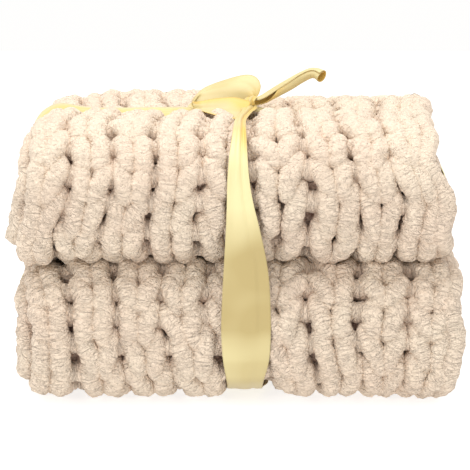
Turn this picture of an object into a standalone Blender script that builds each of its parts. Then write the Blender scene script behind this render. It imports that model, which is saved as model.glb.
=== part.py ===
"""Chunky knit blanket, doubled over, folded in four runs and tied both ways with a satin ribbon.

The blanket is one cloth of fat yarn. It is doubled across its width, so that one long fold lies at
the left end and the two side edges lie at the right, and then laid back and forth in four runs,
with two rounded bends at the front, one at the back and both short edges at the back. A ribbon
goes round it from front to back and from end to end, and is tied on top in a half bow.

Metres, +Z up, the front faces -Y. The origin is the middle of the base.
"""
import math
import random

import bmesh
import bpy
from mathutils import Vector

# Cloth
PLY = 0.0325                # thickness of the knit
SLOT = 0.003                # space between the two plies of the doubled cloth
RUN_GAP = 0.003             # space between one run and the next
HALF = PLY + SLOT / 2       # half the thickness of the doubled cloth
PITCH = 2 * HALF + RUN_GAP  # height from one run to the next
BEND = PITCH / 2            # radius of a bend, at the middle of the doubled cloth
FRONT_BEND_Y = -0.0851      # centre of the two front bends
BACK_BEND_Y = 0.0855        # centre of the back bend
UNDER_EDGE_Y = 0.140        # short edge of the lowest run
TOP_EDGE_Y = 0.146          # short edge of the highest run
# How square a bend is, above and below its middle: 2 is round. The cloth sags towards the lower
# side of the front bends.
FRONT_SQUARE = {"above": 2.15, "below": 2.9}
BACK_SQUARE = {"above": 2.3, "below": 2.5}

# Stitches: a column is one wale of V stitches, a row is one course
COLUMNS = 19                # round the outline, from one side edge to the other
ARC_COLUMNS = 2.15          # of those, the columns that go round the long fold
FLAT_COLUMNS = (COLUMNS - ARC_COLUMNS) / 2
LINES = 4                   # points across a column
END_COLUMN = COLUMNS // 2   # the column at the very end of the long fold
ROW_STEPS = (0.0, 0.36, 0.70)   # where a row's points lie, as parts of the row
SLANT = 0.42                # how far a stitch's legs lean, as a part of the row
EDGE_SLANT = 0.45           # the same beside the short edge, as a part of what is left
LEG_UNEVEN = 0.0028         # how much deeper one leg may lie than the next
SEED = 7

# How deep each point of a stitch lies under its crests: a row for each line of a column,
# and the depths at the crease between two rows, on the shoulder and on the foot of the stitch
STITCH_DEPTHS = [
    {"line": "valley beside the column", "crease": 0.0100, "shoulder": 0.0100, "foot": 0.0100},
    {"line": "left leg", "crease": 0.0075, "shoulder": 0.0000, "foot": 0.0008},
    {"line": "between the legs", "crease": 0.0085, "shoulder": 0.0050, "foot": 0.0040},
    {"line": "right leg", "crease": 0.0075, "shoulder": 0.0000, "foot": 0.0008},
]
HIDDEN_DEPTH = 0.0006       # faces that lie against each other have no stitches
SHORT_EDGE_DROP = 0.008     # rounding of the two short edges
SHORT_EDGE_BARE = 0.012     # no stitch is raised closer than this to a short edge
SIDE_EDGE_INSET = 0.003     # how far the faces stop short of the side edges
BEND_STEPS = 8              # points round a bend where there are no stitches

# Points of the walls between the plies, by column, and of the side edges: how far each lies in
# from the end and how far through the doubled cloth, from the space between the plies outwards
SLOT_COLUMNS = (0.25, 2.5, 4.5, 6.5, 7.8, COLUMNS / 2, 11.2, 12.5, 14.5, 16.5, 18.75)
SIDE_EDGE = [
    {"inset": 0.0040, "out": 0.18},
    {"inset": 0.0000, "out": 0.52},
]

# The folds, from the short edge underneath to the short edge on top. left and right are the
# ends of the cloth there. face, end and back give the rows of stitches on the outer face, round
# the long fold and on the other face, and shown says which of them can be seen.
FOLDS = [
    {"name": "lowest run", "left": -0.221, "right": 0.2235,
     "face": 0, "face_shown": "none", "end": 5, "back": 6, "back_shown": "first"},
    {"name": "lower front bend", "left": -0.222, "right": 0.2255,
     "face": 6, "face_shown": "all", "end": 3, "back": 0, "back_shown": "none"},
    {"name": "second run", "left": -0.221, "right": 0.2255,
     "face": 4, "face_shown": "first", "end": 4, "back": 4, "back_shown": "last"},
    {"name": "back bend", "left": -0.226, "right": 0.2225,
     "face": 0, "face_shown": "none", "end": 3, "back": 6, "back_shown": "all"},
    {"name": "third run", "left": -0.2282, "right": 0.221,
     "face": 4, "face_shown": "last", "end": 4, "back": 4, "back_shown": "first"},
    {"name": "upper front bend", "left": -0.226, "right": 0.217,
     "face": 6, "face_shown": "all", "end": 3, "back": 0, "back_shown": "none"},
    {"name": "top run", "left": -0.215, "right": 0.208,
     "face": 6, "face_shown": "all", "end": 5, "back": 6, "back_shown": "last"},
]

# Where the ribbon draws the cloth in
BAND_X = 0.010              # the ribbon from front to back
CROSS_Y = 0.030             # the ribbon from end to end
PINCH_HALF_WIDTH = 0.052    # reach of the hollow to each side of a ribbon
PINCH_FRONT = 0.011         # depth of the hollow on the front and the back
PINCH_TOP = 0.010
PINCH_UNDER = 0.0078
PINCH_END = 0.010
PINCH_END_FROM = 0.160      # the ends start to be drawn in this far from the middle
PINCH_END_FULL = 0.225
KNIT_TOP = 2 * HALF + 3 * PITCH
CHANNEL_STEPS = (-1.0, -0.55, 0.0, 0.55, 1.0)   # points across the hollow under the cloth

# Ribbon
RIBBON_THICK = 0.001
RIBBON_CLEAR = 0.0008       # from the ribbon to what it lies on
RIBBON_CORNER = 0.0012      # points of its path closer than this are one
CROSS_SPACING = 0.018       # points along the end-to-end ribbon
BAND_SPACING = 0.010        # points along the front-to-back ribbon
TOP_TURN = 0.11             # how far before and behind the knot the band turns towards it
CROSSING_REACH = 0.045      # how far beside a ribbon the one under it still holds it up
# The front-to-back ribbon: its middle and its width, by height on the front and on the back
BAND_SHAPE = [
    {"z": 0.000, "x": 0.0100, "width": 0.049},
    {"z": 0.070, "x": 0.0115, "width": 0.049},
    {"z": 0.110, "x": 0.0105, "width": 0.045},
    {"z": 0.150, "x": 0.0065, "width": 0.031},
    {"z": 0.200, "x": 0.0050, "width": 0.020},
    {"z": 0.250, "x": 0.0045, "width": 0.014},
    {"z": 0.274, "x": 0.0090, "width": 0.012},
]
# The end-to-end ribbon: its width by its distance from the knot
CROSS_SHAPE = [
    {"reach": 0.000, "width": 0.012},
    {"reach": 0.060, "width": 0.024},
    {"reach": 0.180, "width": 0.034},
    {"reach": 0.260, "width": 0.044},
]
BAND_SWAY = 0.002           # how far the band's middle wanders where it is widest
KNOT_X = 0.020
KNOT_SIZE = (0.017, 0.016, 0.013)
KNOT_GAP = 0.0005
KNOT_PLEATS = 6
KNOT_PLEAT_DEPTH = 0.05
# The loop of the bow from the knot along the cloth, round its far end and back over to the knot.
# Points are from the knot's middle; lean is how far the ribbon's width tips up from lying flat.
LOOP_SHAPE = [
    {"x": -0.0092, "y": -0.002, "z": 0.000, "width": 0.010, "lean": 20},
    {"x": -0.0240, "y": -0.008, "z": 0.002, "width": 0.024, "lean": 24},
    {"x": -0.0440, "y": -0.008, "z": 0.005, "width": 0.030, "lean": 28},
    {"x": -0.0620, "y": -0.002, "z": 0.007, "width": 0.030, "lean": 38},
    {"x": -0.0700, "y": 0.006, "z": 0.012, "width": 0.029, "lean": 50},
    {"x": -0.0620, "y": 0.014, "z": 0.019, "width": 0.029, "lean": 62},
    {"x": -0.0440, "y": 0.018, "z": 0.023, "width": 0.030, "lean": 70},
    {"x": -0.0240, "y": 0.016, "z": 0.024, "width": 0.030, "lean": 74},
    {"x": -0.0110, "y": 0.010, "z": 0.020, "width": 0.024, "lean": 76},
    {"x": -0.0075, "y": 0.005, "z": 0.010, "width": 0.012, "lean": 70},
]
# The free end, rolled on itself: points from the knot's middle, and the roll's radius
TAIL_SHAPE = [
    {"x": 0.0086, "y": 0.000, "z": 0.0018, "radius": 0.0045},
    {"x": 0.0220, "y": 0.001, "z": 0.0090, "radius": 0.0058},
    {"x": 0.0360, "y": 0.002, "z": 0.0165, "radius": 0.0066},
    {"x": 0.0500, "y": 0.002, "z": 0.0250, "radius": 0.0072},
    {"x": 0.0610, "y": 0.000, "z": 0.0305, "radius": 0.0072},
    {"x": 0.0700, "y": -0.003, "z": 0.0310, "radius": 0.0076},
    {"x": 0.0775, "y": -0.006, "z": 0.0265, "radius": 0.0088},
]
TAIL_SIDES = 10

YARN_COLOUR = (0.86, 0.76, 0.66, 1.0)
RIBBON_COLOUR = (0.83, 0.70, 0.33, 1.0)


def clear_scene():
    for obj in list(bpy.data.objects):
        bpy.data.objects.remove(obj, do_unlink=True)


def make_material(name, colour, roughness):
    material = bpy.data.materials.new(name)
    material.use_nodes = True
    shader = material.node_tree.nodes["Principled BSDF"]
    shader.inputs["Base Color"].default_value = colour
    shader.inputs["Roughness"].default_value = roughness
    shader.inputs["Metallic"].default_value = 0.0
    material.diffuse_color = colour
    return material


def add_object(name, bm, material, collection):
    mesh = bpy.data.meshes.new(name)
    bm.to_mesh(mesh)
    bm.free()
    mesh.materials.append(material)
    obj = bpy.data.objects.new(name, mesh)
    collection.objects.link(obj)
    return obj


def blend(low, high, part):
    return low + (high - low) * part


def smooth(part):
    part = min(max(part, 0.0), 1.0)
    return part * part * (3 - 2 * part)


def hollow(distance):
    """How much of the ribbon's pull reaches a point this far from the ribbon's middle."""
    if abs(distance) >= PINCH_HALF_WIDTH:
        return 0.0
    return math.cos(math.pi / 2 * distance / PINCH_HALF_WIDTH) ** 2


def look_up(table, key, value, column):
    """Read a column of a table at a value between its rows."""
    if value <= table[0][key]:
        return table[0][column]
    for lower, upper in zip(table, table[1:]):
        if value <= upper[key]:
            part = (value - lower[key]) / (upper[key] - lower[key])
            return blend(lower[column], upper[column], part)
    return table[-1][column]


def fold_line():
    """The middle of the doubled cloth, seen from its end: one piece for each row of FOLDS."""
    heights = [HALF + PITCH * run for run in range(4)]
    runs = [
        (UNDER_EDGE_Y, FRONT_BEND_Y), (FRONT_BEND_Y, BACK_BEND_Y),
        (BACK_BEND_Y, FRONT_BEND_Y), (FRONT_BEND_Y, TOP_EDGE_Y),
    ]
    pieces = []
    for run, (start_y, end_y) in enumerate(runs):
        pieces.append({"kind": "run", "start": start_y, "end": end_y, "z": heights[run],
                       "length": abs(end_y - start_y)})
        if run < 3:
            side = -1 if run != 1 else 1
            pieces.append({"kind": "bend", "y": end_y, "z": heights[run] + BEND, "side": side,
                           "length": math.pi * BEND})
    begin = 0.0
    for piece in pieces:
        piece["begin"] = begin
        begin += piece["length"]
    return pieces


PIECES = fold_line()


def place_on_fold_line(distance):
    """Return (y, z), the direction to the outer face, and the piece's number and part."""
    number = 0
    for index, piece in enumerate(PIECES):
        if distance >= piece["begin"] - 1e-9:
            number = index
    piece = PIECES[number]
    part = (distance - piece["begin"]) / piece["length"]
    if piece["kind"] == "run":
        way = 1 if piece["end"] > piece["start"] else -1
        place = (blend(piece["start"], piece["end"], part), piece["z"])
        return place, (0.0, float(way)), number, part
    turn = math.pi * part - math.pi / 2
    squares = FRONT_SQUARE if piece["side"] < 0 else BACK_SQUARE
    square = squares["above" if turn > 0 else "below"]
    swell = (math.cos(turn) ** square + abs(math.sin(turn)) ** square) ** (-1 / square)
    along = swell * math.cos(turn) * piece["side"]
    up = swell * math.sin(turn)
    place = (piece["y"] + BEND * along, piece["z"] + BEND * up)
    outward = -piece["side"]
    return place, (along * outward, up * outward), number, part


def cloth_ends(number, part):
    """The left and right end of the cloth at a place on the fold line."""
    here = FOLDS[number]
    other = FOLDS[max(number - 1, 0)] if part < 0.5 else FOLDS[min(number + 1, len(FOLDS) - 1)]
    share = smooth(abs(part - 0.5) * 2) / 2
    return (blend(here["left"], other["left"], share), blend(here["right"], other["right"], share))


def draw_in(point):
    """Move a point of the cloth to where the tied ribbon pulls it."""
    x, y, z = point
    band = hollow(x - BAND_X)
    cross = hollow(y - CROSS_Y)
    front_part = smooth((abs(y) + FRONT_BEND_Y) / (HALF + BEND))
    end_part = smooth((abs(x) - PINCH_END_FROM) / (PINCH_END_FULL - PINCH_END_FROM))
    top_part = smooth((z - KNIT_TOP + PITCH) / PITCH)
    under_part = smooth(1 - z / PITCH)
    both = min(1.0, band + cross)
    y -= math.copysign(PINCH_FRONT * band * front_part, y)
    x -= math.copysign(PINCH_END * cross * end_part, x)
    z -= PINCH_TOP * both * top_part
    z += PINCH_UNDER * both * under_part
    return Vector((x, y, z))


def cloth_point(column, distance, depth):
    """A point of the doubled cloth, by its column round the outline and its depth under it."""
    (y, z), (out_y, out_z), number, part = place_on_fold_line(distance)
    left, right = cloth_ends(number, part)
    arc_start = left + HALF
    radius = HALF - depth
    if column <= FLAT_COLUMNS:
        x, out = blend(right, arc_start, column / FLAT_COLUMNS), radius
    elif column < FLAT_COLUMNS + ARC_COLUMNS:
        angle = math.pi * (column - FLAT_COLUMNS) / ARC_COLUMNS
        x, out = arc_start - radius * math.sin(angle), radius * math.cos(angle)
    else:
        x, out = blend(right, arc_start, (COLUMNS - column) / FLAT_COLUMNS), -radius
    return draw_in((x, y + out_y * out, z + out_z * out))


def edge_point(inset, out, distance):
    """A point by its distance in from the right end and its place through the doubled cloth."""
    (y, z), (out_y, out_z), number, part = place_on_fold_line(distance)
    right = cloth_ends(number, part)[1]
    return draw_in((right - inset, y + out_y * out, z + out_z * out))


def slot_point(column, distance):
    """A point on the wall of the space between the plies, which ends in the long fold."""
    (y, z), (out_y, out_z), number, part = place_on_fold_line(distance)
    left, right = cloth_ends(number, part)
    from_edge = min(column, COLUMNS - column, FLAT_COLUMNS)
    out = 0.0
    if from_edge < FLAT_COLUMNS:
        out = math.copysign(SLOT / 2, COLUMNS / 2 - column)
    x = blend(right, left + HALF, from_edge / FLAT_COLUMNS)
    return draw_in((x, y + out_y * out, z + out_z * out))


def stations(side):
    """Where the points of one side of the cloth lie along the fold line.

    Each is (distance, length of its row, step in the row or None where no stitch is raised).
    """
    found = []
    for number, (piece, fold) in enumerate(zip(PIECES, FOLDS)):
        rows = fold[side]
        shown = "all" if side == "end" else fold[side + "_shown"]
        begin, length = piece["begin"], piece["length"]
        if shown == "none":
            if number == 0:
                for step in reversed(CHANNEL_STEPS):
                    from_edge = UNDER_EDGE_Y - CROSS_Y - step * PINCH_HALF_WIDTH
                    found.append((begin + from_edge, 0.0, None))
                found.append((begin + length - BEND / 6, 0.0, None))
            else:
                found += [(begin + length * part, 0.0, None) for part in (0.0, 0.5, 1.0)]
            continue
        row_length = length / rows
        wanted = {"all": range(rows), "first": range(1), "last": range(rows - 1, rows)}[shown]
        for row in wanted:
            for step, part in enumerate(ROW_STEPS):
                found.append((begin + (row + part) * row_length, row_length, step))
    end = PIECES[-1]["begin"] + PIECES[-1]["length"]
    inner = [entry for entry in found if SHORT_EDGE_BARE < entry[0] < end - SHORT_EDGE_BARE]
    return [(0.0, 0.0, None)] + inner + [(end, 0.0, None)]


def edge_rounding(distance):
    """How much lower the cloth's face lies at its two short edges, which are rounded."""
    end = PIECES[-1]["begin"] + PIECES[-1]["length"]
    return SHORT_EDGE_DROP if min(distance, end - distance) < 1e-6 else 0.0


def stitch_line(bm, line, dice):
    """One line of points along the cloth, on the outline."""
    column = line / LINES
    if column > END_COLUMN + 1:
        side = "back"
    elif column >= END_COLUMN:
        side = "end"
    else:
        side = "face"
    depths = STITCH_DEPTHS[line % LINES]
    lean = abs(2 * (column % 1.0) - 1) * SLANT
    inset = SIDE_EDGE_INSET if line in (0, COLUMNS * LINES) else 0.0
    cloth_end = PIECES[-1]["begin"] + PIECES[-1]["length"]
    points = []
    for distance, row_length, step in stations(side):
        depth = edge_rounding(distance)
        shift = 0.0
        if step is None:
            depth += HIDDEN_DEPTH if distance > PIECES[1]["begin"] or side == "back" else 0.0
        else:
            depth = depths[("crease", "shoulder", "foot")[step]]
            depth += LEG_UNEVEN * dice.random() if line % LINES else 0.0
            shift = min(lean * row_length, (cloth_end - distance) * EDGE_SLANT)
        place = cloth_point(column, distance + shift, depth)
        place.x -= inset
        points.append((distance, bm.verts.new(place)))
    return points


def plain_line(bm, place):
    """A line of points along the cloth with no stitches, such as one in the slot."""
    distances = [0.0]
    for piece in PIECES:
        if piece["kind"] == "bend":
            parts = [step / BEND_STEPS for step in range(BEND_STEPS + 1)]
        else:
            crossings = [CROSS_Y + step * PINCH_HALF_WIDTH for step in CHANNEL_STEPS]
            parts = [(y - piece["start"]) / (piece["end"] - piece["start"]) for y in crossings]
            parts.sort()
        distances += [piece["begin"] + piece["length"] * part for part in parts]
    distances.append(PIECES[-1]["begin"] + PIECES[-1]["length"])
    return [(distance, bm.verts.new(place(distance))) for distance in distances]


def join_lines(bm, first, second):
    """Fill between two lines of points, whose points need not pair up."""
    i = j = 0
    while i < len(first) - 1 or j < len(second) - 1:
        next_first = first[i + 1][0] if i < len(first) - 1 else math.inf
        next_second = second[j + 1][0] if j < len(second) - 1 else math.inf
        if abs(next_first - next_second) < 1e-6:
            bm.faces.new((first[i][1], first[i + 1][1], second[j + 1][1], second[j][1]))
            i += 1
            j += 1
        elif next_first < next_second:
            bm.faces.new((first[i][1], first[i + 1][1], second[j][1]))
            i += 1
        else:
            bm.faces.new((first[i][1], second[j + 1][1], second[j][1]))
            j += 1


def build_blanket(material, collection):
    bm = bmesh.new()
    dice = random.Random(SEED)
    outline = [stitch_line(bm, line, dice) for line in range(COLUMNS * LINES + 1)]

    inside = []
    for column in SLOT_COLUMNS:
        inside.append(plain_line(bm, lambda distance: slot_point(column, distance)))
    for edge in SIDE_EDGE:
        out = HALF * edge["out"]
        inside.insert(0, plain_line(bm, lambda distance: edge_point(edge["inset"], out, distance)))
        inside.append(plain_line(bm, lambda distance: edge_point(edge["inset"], -out, distance)))
    for first, second in zip(outline, outline[1:]):
        join_lines(bm, first, second)
    for first, second in zip(inside, inside[1:]):
        join_lines(bm, second, first)
    join_lines(bm, inside[0], outline[0])
    join_lines(bm, outline[-1], inside[-1])
    for end in (0, -1):
        outer = [(line / LINES, points[end][1]) for line, points in enumerate(outline)]
        inner = [(COLUMNS * step / (len(inside) - 1), points[end][1])
                 for step, points in enumerate(inside)]
        join_lines(bm, *((outer, inner) if end else (inner, outer)))
    bmesh.ops.triangulate(bm, faces=bm.faces)
    bmesh.ops.recalc_face_normals(bm, faces=bm.faces)
    if bm.calc_volume(signed=True) < 0:
        bmesh.ops.reverse_faces(bm, faces=bm.faces)
    return add_object("blanket", bm, material, collection)


def hull(points):
    """The convex outline of points in a plane, counter-clockwise."""
    points = sorted(set(points))

    def half(ordered):
        kept = []
        for point in ordered:
            while len(kept) > 1:
                ahead = (kept[-1][0] - kept[-2][0], kept[-1][1] - kept[-2][1])
                aside = (point[0] - kept[-2][0], point[1] - kept[-2][1])
                if ahead[0] * aside[1] - ahead[1] * aside[0] > 0:
                    break
                kept.pop()
            kept.append(point)
        return kept[:-1]

    return half(points) + half(reversed(points))


def stand_off(outline, clearance, spacing):
    """A closed line round a convex outline, clear of it, with points about a spacing apart."""
    grown = []
    for before, here, after in zip(outline[-1:] + outline[:-1], outline, outline[1:] + outline[:1]):
        for start, end in ((before, here), (here, after)):
            run = Vector((end[0] - start[0], end[1] - start[1]))
            out = Vector((run.y, -run.x)).normalized()
            grown.append(Vector(here) + out * clearance)
    thinned = [grown[0]]
    for point in grown[1:]:
        gap = (point - thinned[-1]).length
        if gap < RIBBON_CORNER:
            continue
        steps = max(1, round(gap / spacing))
        last = thinned[-1]
        thinned += [last.lerp(point, step / steps) for step in range(1, steps + 1)]
    if (thinned[-1] - thinned[0]).length < RIBBON_CORNER:
        thinned.pop()
    return thinned


def add_strip(name, rows, closed, material, collection):
    """A ribbon through rows of points across it, given its thickness."""
    bm = bmesh.new()
    grid = [[bm.verts.new(point) for point in row] for row in rows]
    following = grid[1:] + grid[:1] if closed else grid[1:]
    for row, after in zip(grid, following):
        for left in range(len(row) - 1):
            bm.faces.new((row[left], row[left + 1], after[left + 1], after[left]))
    bmesh.ops.recalc_face_normals(bm, faces=bm.faces)
    obj = add_object(name, bm, material, collection)
    solidify = obj.modifiers.new("thickness", "SOLIDIFY")
    solidify.thickness = RIBBON_THICK
    solidify.offset = 0.0
    solidify.use_even_offset = True
    return obj


def section(blanket, across, middle, half_width):
    """What a ribbon lies on, seen along its width: all of the cloth between its two edges."""
    along = 1 - across
    points = []
    for edge in blanket.data.edges:
        ends = [blanket.data.vertices[index].co for index in edge.vertices]
        places = [end[across] - middle for end in ends]
        points += [end for end, place in zip(ends, places) if abs(place) <= half_width]
        for border in (-half_width, half_width):
            if (places[0] - border) * (places[1] - border) < 0:
                part = (border - places[0]) / (places[1] - places[0])
                points.append(ends[0].lerp(ends[1], part))
    return [(point[along], point.z) for point in points]


def build_cross(blanket, material, collection):
    """The ribbon from end to end, drawn tight round what it lies on."""
    near = section(blanket, 1, CROSS_Y, max(row["width"] for row in CROSS_SHAPE) / 2)
    line = stand_off(hull(near), RIBBON_CLEAR + RIBBON_THICK / 2, CROSS_SPACING)
    rows = []
    for point in line:
        on_top = point.y > PITCH * 2
        away = abs(point.x - KNOT_X) if on_top else CROSS_SHAPE[-1]["reach"]
        width = look_up(CROSS_SHAPE, "reach", away, "width")
        rows.append([(point.x, CROSS_Y + width * side, point.y) for side in (-0.5, 0.0, 0.5)])
    return add_strip("ribbon_cross", rows, True, material, collection)


def build_band(blanket, cross, material, collection):
    """The ribbon from front to back, drawn tight over the cloth and the other ribbon."""
    widest = max(row["width"] for row in BAND_SHAPE) / 2 + BAND_SWAY
    near = section(blanket, 0, BAND_X, widest)
    evaluated = cross.evaluated_get(bpy.context.evaluated_depsgraph_get())
    crossing = [(vert.co.y, vert.co.z) for vert in evaluated.data.vertices
                if abs(vert.co.x - BAND_X) < CROSSING_REACH]
    line = stand_off(hull(near + crossing), RIBBON_CLEAR + RIBBON_THICK / 2, BAND_SPACING)
    rows = []
    for point in line:
        y, z = point
        middle = look_up(BAND_SHAPE, "z", z, "x")
        width = look_up(BAND_SHAPE, "z", z, "width")
        if z > KNIT_TOP - PITCH:
            middle = blend(middle, KNOT_X, smooth(1 - abs(y - CROSS_Y) / TOP_TURN))
        rows.append([(middle + width * side, y, z) for side in (-0.5, 0.0, 0.5)])
    return add_strip("ribbon_band", rows, True, material, collection)


def knot_middle(band):
    """The middle of the knot, which sits on the two ribbons where they cross."""
    evaluated = band.evaluated_get(bpy.context.evaluated_depsgraph_get())
    near = [vert.co.z for vert in evaluated.data.vertices
            if abs(vert.co.y - CROSS_Y) < KNOT_SIZE[1] * 2]
    return Vector((KNOT_X, CROSS_Y, max(near) + KNOT_GAP + KNOT_SIZE[2] / 2))


def build_knot(middle, material, collection):
    bm = bmesh.new()
    bmesh.ops.create_uvsphere(bm, u_segments=14, v_segments=8, radius=0.5)
    for vert in bm.verts:
        turn = math.atan2(vert.co.z, vert.co.y)
        pleat = 1 + KNOT_PLEAT_DEPTH * math.cos(KNOT_PLEATS * turn)
        vert.co = Vector((vert.co.x * KNOT_SIZE[0], vert.co.y * KNOT_SIZE[1] * pleat,
                          vert.co.z * KNOT_SIZE[2])) + middle
    return add_object("knot", bm, material, collection)


def build_loop(middle, material, collection):
    """The loop of the bow, as one ribbon that starts and ends beside the knot."""
    rows = []
    for row in LOOP_SHAPE:
        centre = middle + Vector((row["x"], row["y"], row["z"]))
        lean = math.radians(row["lean"])
        across = Vector((0.0, math.cos(lean), math.sin(lean))) * row["width"]
        rows.append([centre + across * side for side in (-0.5, -0.17, 0.17, 0.5)])
    return add_strip("bow_loop", rows, False, material, collection)


def build_tail(middle, material, collection):
    """The free end, a slim roll that widens to its cut end."""
    curve = bpy.data.curves.new("ribbon_tail", "CURVE")
    curve.dimensions = "3D"
    curve.bevel_depth = 1.0
    curve.bevel_resolution = TAIL_SIDES // 2 - 2
    curve.use_fill_caps = True
    spline = curve.splines.new("POLY")
    spline.points.add(len(TAIL_SHAPE) - 1)
    for point, row in zip(spline.points, TAIL_SHAPE):
        point.co = (*(middle + Vector((row["x"], row["y"], row["z"]))), 1.0)
        point.radius = row["radius"]
    curve.materials.append(material)
    tail = bpy.data.objects.new("ribbon_tail", curve)
    collection.objects.link(tail)
    return tail


def main():
    clear_scene()
    collection = bpy.data.collections.new("knit_blanket")
    bpy.context.scene.collection.children.link(collection)
    yarn = make_material("chenille_yarn", YARN_COLOUR, 0.95)
    satin = make_material("satin_ribbon", RIBBON_COLOUR, 0.35)
    blanket = build_blanket(yarn, collection)
    cross = build_cross(blanket, satin, collection)
    band = build_band(blanket, cross, satin, collection)
    middle = knot_middle(band)
    build_knot(middle, satin, collection)
    build_loop(middle, satin, collection)
    build_tail(middle, satin, collection)


main()
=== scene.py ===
"""Looks of the folded chunky knit blanket: chenille yarn stitch by stitch, and its satin ribbon."""
import math
import random

import bmesh
import bpy
import numpy as np
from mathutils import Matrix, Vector


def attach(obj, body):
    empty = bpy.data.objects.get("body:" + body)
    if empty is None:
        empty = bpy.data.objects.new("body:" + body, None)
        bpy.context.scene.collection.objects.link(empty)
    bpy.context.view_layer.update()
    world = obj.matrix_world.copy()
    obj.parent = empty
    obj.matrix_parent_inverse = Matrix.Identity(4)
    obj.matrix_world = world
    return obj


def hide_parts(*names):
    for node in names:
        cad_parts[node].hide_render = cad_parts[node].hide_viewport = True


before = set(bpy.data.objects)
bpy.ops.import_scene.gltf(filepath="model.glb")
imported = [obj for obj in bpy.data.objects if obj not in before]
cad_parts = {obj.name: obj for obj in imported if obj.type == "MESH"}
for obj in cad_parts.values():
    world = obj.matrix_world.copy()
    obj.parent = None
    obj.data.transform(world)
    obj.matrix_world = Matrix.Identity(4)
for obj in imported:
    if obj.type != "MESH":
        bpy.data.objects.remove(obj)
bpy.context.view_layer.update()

bpy.ops.object.select_all(action="DESELECT")

# The cloth, as folded: metres, +Z up, the front faces -Y
PLY = 0.0325                # thickness of the knit
SLOT = 0.003                # space between the two plies of the doubled cloth
RUN_GAP = 0.003             # space between one run and the next
HALF = PLY + SLOT / 2
PITCH = 2 * HALF + RUN_GAP
BEND = PITCH / 2
FRONT_BEND_Y = -0.0851
BACK_BEND_Y = 0.0855
UNDER_EDGE_Y = 0.140
TOP_EDGE_Y = 0.146
KNIT_TOP = 2 * HALF + 3 * PITCH
FRONT_SQUARE = (2.9, 2.15)  # how square a bend is below and above its middle
BACK_SQUARE = (2.5, 2.3)

# Stitches, in columns round the outline of the doubled cloth and rows along it
COLUMNS = 19
ARC_COLUMNS = 2.15
FLAT_COLUMNS = (COLUMNS - ARC_COLUMNS) / 2
END_COLUMN = COLUMNS // 2

# The folds, from the short edge underneath to the one on top: the ends of the cloth, and its
# rows of stitches on the outer face, round the long fold and on the other face
FOLDS = [
    {"name": "lowest run", "left": -0.2275, "right": 0.2255, "face": 6, "end": 5, "back": 6},
    {"name": "lower front bend", "left": -0.213, "right": 0.230, "face": 6, "end": 3, "back": 2},
    {"name": "second run", "left": -0.217, "right": 0.2295, "face": 4, "end": 4, "back": 4},
    {"name": "back bend", "left": -0.232, "right": 0.227, "face": 2, "end": 3, "back": 6},
    {"name": "third run", "left": -0.229, "right": 0.222, "face": 4, "end": 4, "back": 4},
    {"name": "upper front bend", "left": -0.219, "right": 0.219, "face": 6, "end": 3, "back": 2},
    {"name": "top run", "left": -0.215, "right": 0.216, "face": 6, "end": 5, "back": 6},
]

# Where the ribbon draws the cloth in
BAND_X = 0.010
CROSS_Y = 0.030
PINCH_HALF_WIDTH = 0.046
PINCH_FRONT = 0.011
PINCH_TOP = 0.010
PINCH_UNDER = 0.0175
PINCH_END = 0.010
PINCH_END_FROM = 0.160
PINCH_END_FULL = 0.225
BURIED_NARROW = 1.80        # right of the knot the knit closes over the ribbon
BURIED_DEEP = 1.05
BURIED_REACH = 0.080
CROWN_FROM = 0.165          # above this height the left end leans in
CROWN_REACH = 0.090
CROWN_LEAN = 0.050
CORNER_FROM = 0.198         # and above this one the front corner at the right
CORNER_REACH = 0.045
CORNER_LEAN = 0.074
CORNER_BACK = 0.110         # as far back as this
CORNER_DEPTH = 0.160
HEEL_FROM = 0.040           # below this height the right end leans in
HEEL_LEAN = 0.075
LEAN_REACH = 0.200          # from the middle to where an end leans in full
FRONT_REACH = 0.120         # and to where the front slants in full
# A span: where it begins and the reach over which it comes up, where it ends and fades
FOOT_FROM = 0.095           # below this height the front slants to the right
FOOT_SLANT = 0.017
FOOT_SPAN = ((-0.228, 0.07), (0.200, 0.10))
UPPER_SLANT = 0.011         # and so does the upper bundle, right of the band
UPPER_HEIGHTS = ((0.135, 0.02), (0.275, 0.11))
UPPER_SPAN = ((0.020, 0.05), (0.195, 0.09))
DROOP = 0.009               # the left end of the upper bundle hangs down
DROOP_FROM = 0.150
DROOP_REACH = 0.060
DROOP_HEIGHTS = ((0.090, 0.04), (0.235, 0.07))
RISE = 0.006                # the back of the top rises left of the knot
RISE_SPAN = ((-0.160, 0.04), (-0.015, 0.03))
RISE_FROM_Y = 0.045
RISE_REACH = 0.060
TOP_NARROW = 1.45           # on top the band's groove is this much narrower
CROSS_NARROW = 1.20         # and the other groove everywhere

# Yarn and its stitches
YARN_RADIUS = 0.0112
LOOP_HEIGHT = 0.80          # from a stitch's middle to its head, in rows
LOOP_SPREAD = 0.172         # how far the head is wider than the foot, in columns
LEG_DRAW = 0.047            # how far a stitch's two legs are drawn together, in columns
LOOP_DEPTH = 0.0050         # half of how far the head lies behind the legs
LOOP_TILT = 0.0020          # how far the feet come forward and the heads go back
SQUEEZE = 0.0080            # how far the two bundles swell into the notch between them
SQUEEZE_REACH = 0.045
SIDE_INSET = 0.013          # from the side edge to the first column
EDGE_INSET = 0.017          # from the short edge to the first row
EDGE_SHADE_DEPTH = 0.0035          # how deep the yarn of an edge counts as lying, for the painted shade in the hollows of the knit
INNER_ROWS = {"face": range(14, 20), "back": [*range(1, 11), *range(19, 29)]}
# The yarns of a side edge: place in the doubled cloth, start of the wave and thickness
SIDE_YARNS = [(0.0222, 0.0, 1.00), (0.0085, 2.6, 0.88), (-0.0085, 0.9, 0.88), (-0.0222, 3.6, 1.00)]
# The uneven pile of the yarn: share of its radius, length of a lump and seed
PUFFS = [(0.050, 0.018, 3), (0.058, 0.0095, 4), (0.030, 0.0055, 6)]
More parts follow.
